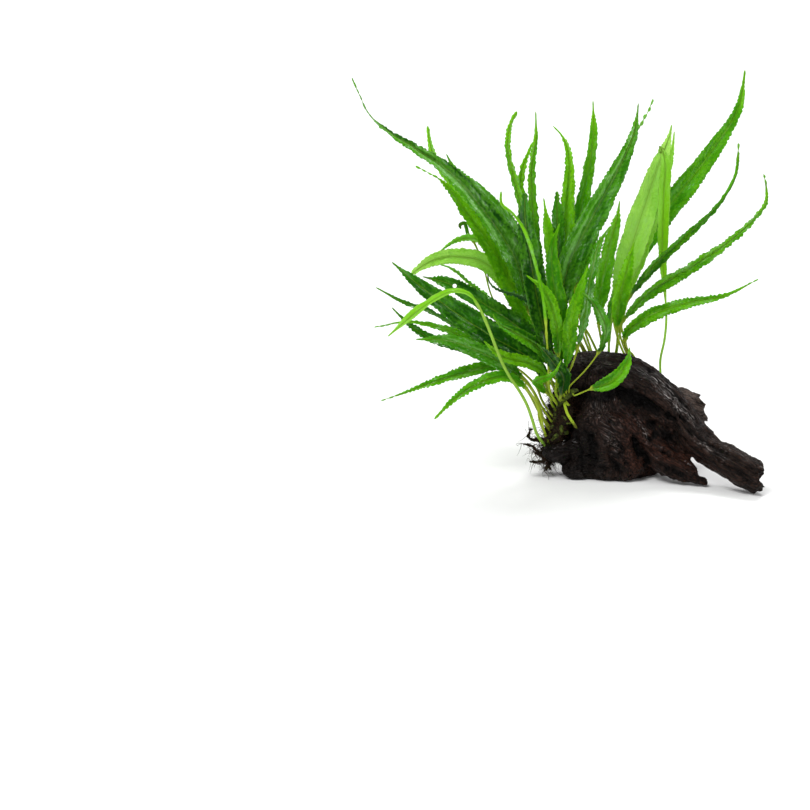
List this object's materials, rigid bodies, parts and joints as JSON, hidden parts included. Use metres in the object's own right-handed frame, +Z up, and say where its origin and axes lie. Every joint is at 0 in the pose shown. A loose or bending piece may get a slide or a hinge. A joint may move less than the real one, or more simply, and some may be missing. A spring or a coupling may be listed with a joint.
{
  "type": "java fern on driftwood",
  "caption": "Aquarium java fern: lance-shaped green fronds on thin stalks grow from a creeping rhizome rooted on a dark forked piece of driftwood.",
  "frame": {"origin": "middle of the flat patch under the driftwood trunk that it rests on", "axes": "+Z up, -Y towards the viewer of the picture, +X to the right along the long prong"},
  "size_m": [0.3015, 0.148, 0.2949],
  "materials": {
    "driftwood": "dark wet weathered wood",
    "roots": "matte brown root hair",
    "rhizome": "green-brown scaly rind",
    "frond_dark": "dark glossy leaf",
    "frond_green": "satin leaf",
    "frond_bright": "satin young leaf",
    "frond_pale": "pale back-lit leaf",
    "frond_withered": "dry curled leaf"
  },
  "bodies": {
    "root": {"driftwood_trunk": "driftwood", "driftwood_long_prong": "driftwood", "driftwood_short_branch": "driftwood", "driftwood_back_stub": "driftwood", "root_mat": "roots", "rhizome": "rhizome", "rhizome_side_shoot": "rhizome", "frond_far_left": "frond_dark", "frond_left_lace_tip": "frond_bright", "frond_left_pale_tip": "frond_bright", "frond_left_upper": "frond_dark", "frond_centre_glossy": "frond_dark", "frond_hooked": "frond_green", "frond_twin_left": "frond_bright", "frond_twin_right": "frond_green", "frond_edge_on": "frond_bright", "frond_sickle": "frond_bright", "frond_tall_middle": "frond_green", "frond_broad_middle": "frond_dark", "frond_lace_tip": "frond_green", "frond_short_pointed": "frond_bright", "frond_short_dark": "frond_dark", "frond_front_bright": "frond_bright", "frond_front_small_left": "frond_bright", "frond_front_right": "frond_bright", "frond_silver": "frond_dark", "frond_narrow_right": "frond_green", "frond_folded_down": "frond_bright", "frond_drooping_dark": "frond_dark", "frond_on_wood": "frond_green", "frond_light_broad": "frond_pale", "frond_light_behind": "frond_pale", "frond_upright_stem": "frond_pale", "frond_tall_right": "frond_green", "frond_right_upper": "frond_green", "frond_right_middle": "frond_green", "frond_right_lower": "frond_green", "frond_left_arch_high": "frond_bright", "frond_left_arch_pale": "frond_pale", "fiddlehead": "frond_green", "frond_left_thin_bright": "frond_bright", "frond_left_holed": "frond_dark", "frond_left_broad_dark": "frond_dark", "frond_left_front": "frond_green", "frond_withered": "frond_withered", "frond_bent_stem": "frond_pale", "frond_left_long_thin": "frond_dark", "frond_left_two_tone": "frond_green", "frond_left_behind": "frond_dark", "frond_left_glossy": "frond_dark", "frond_left_small_bright": "frond_bright", "frond_left_low_long": "frond_green", "frond_left_lowest": "frond_green", "frond_left_filler": "frond_dark", "frond_front_curl": "frond_green", "petiole_cut_off": "frond_bright", "frond_back_left": "frond_green", "frond_back_middle": "frond_green", "frond_back_right": "frond_green"}
  },
  "joints": []
}
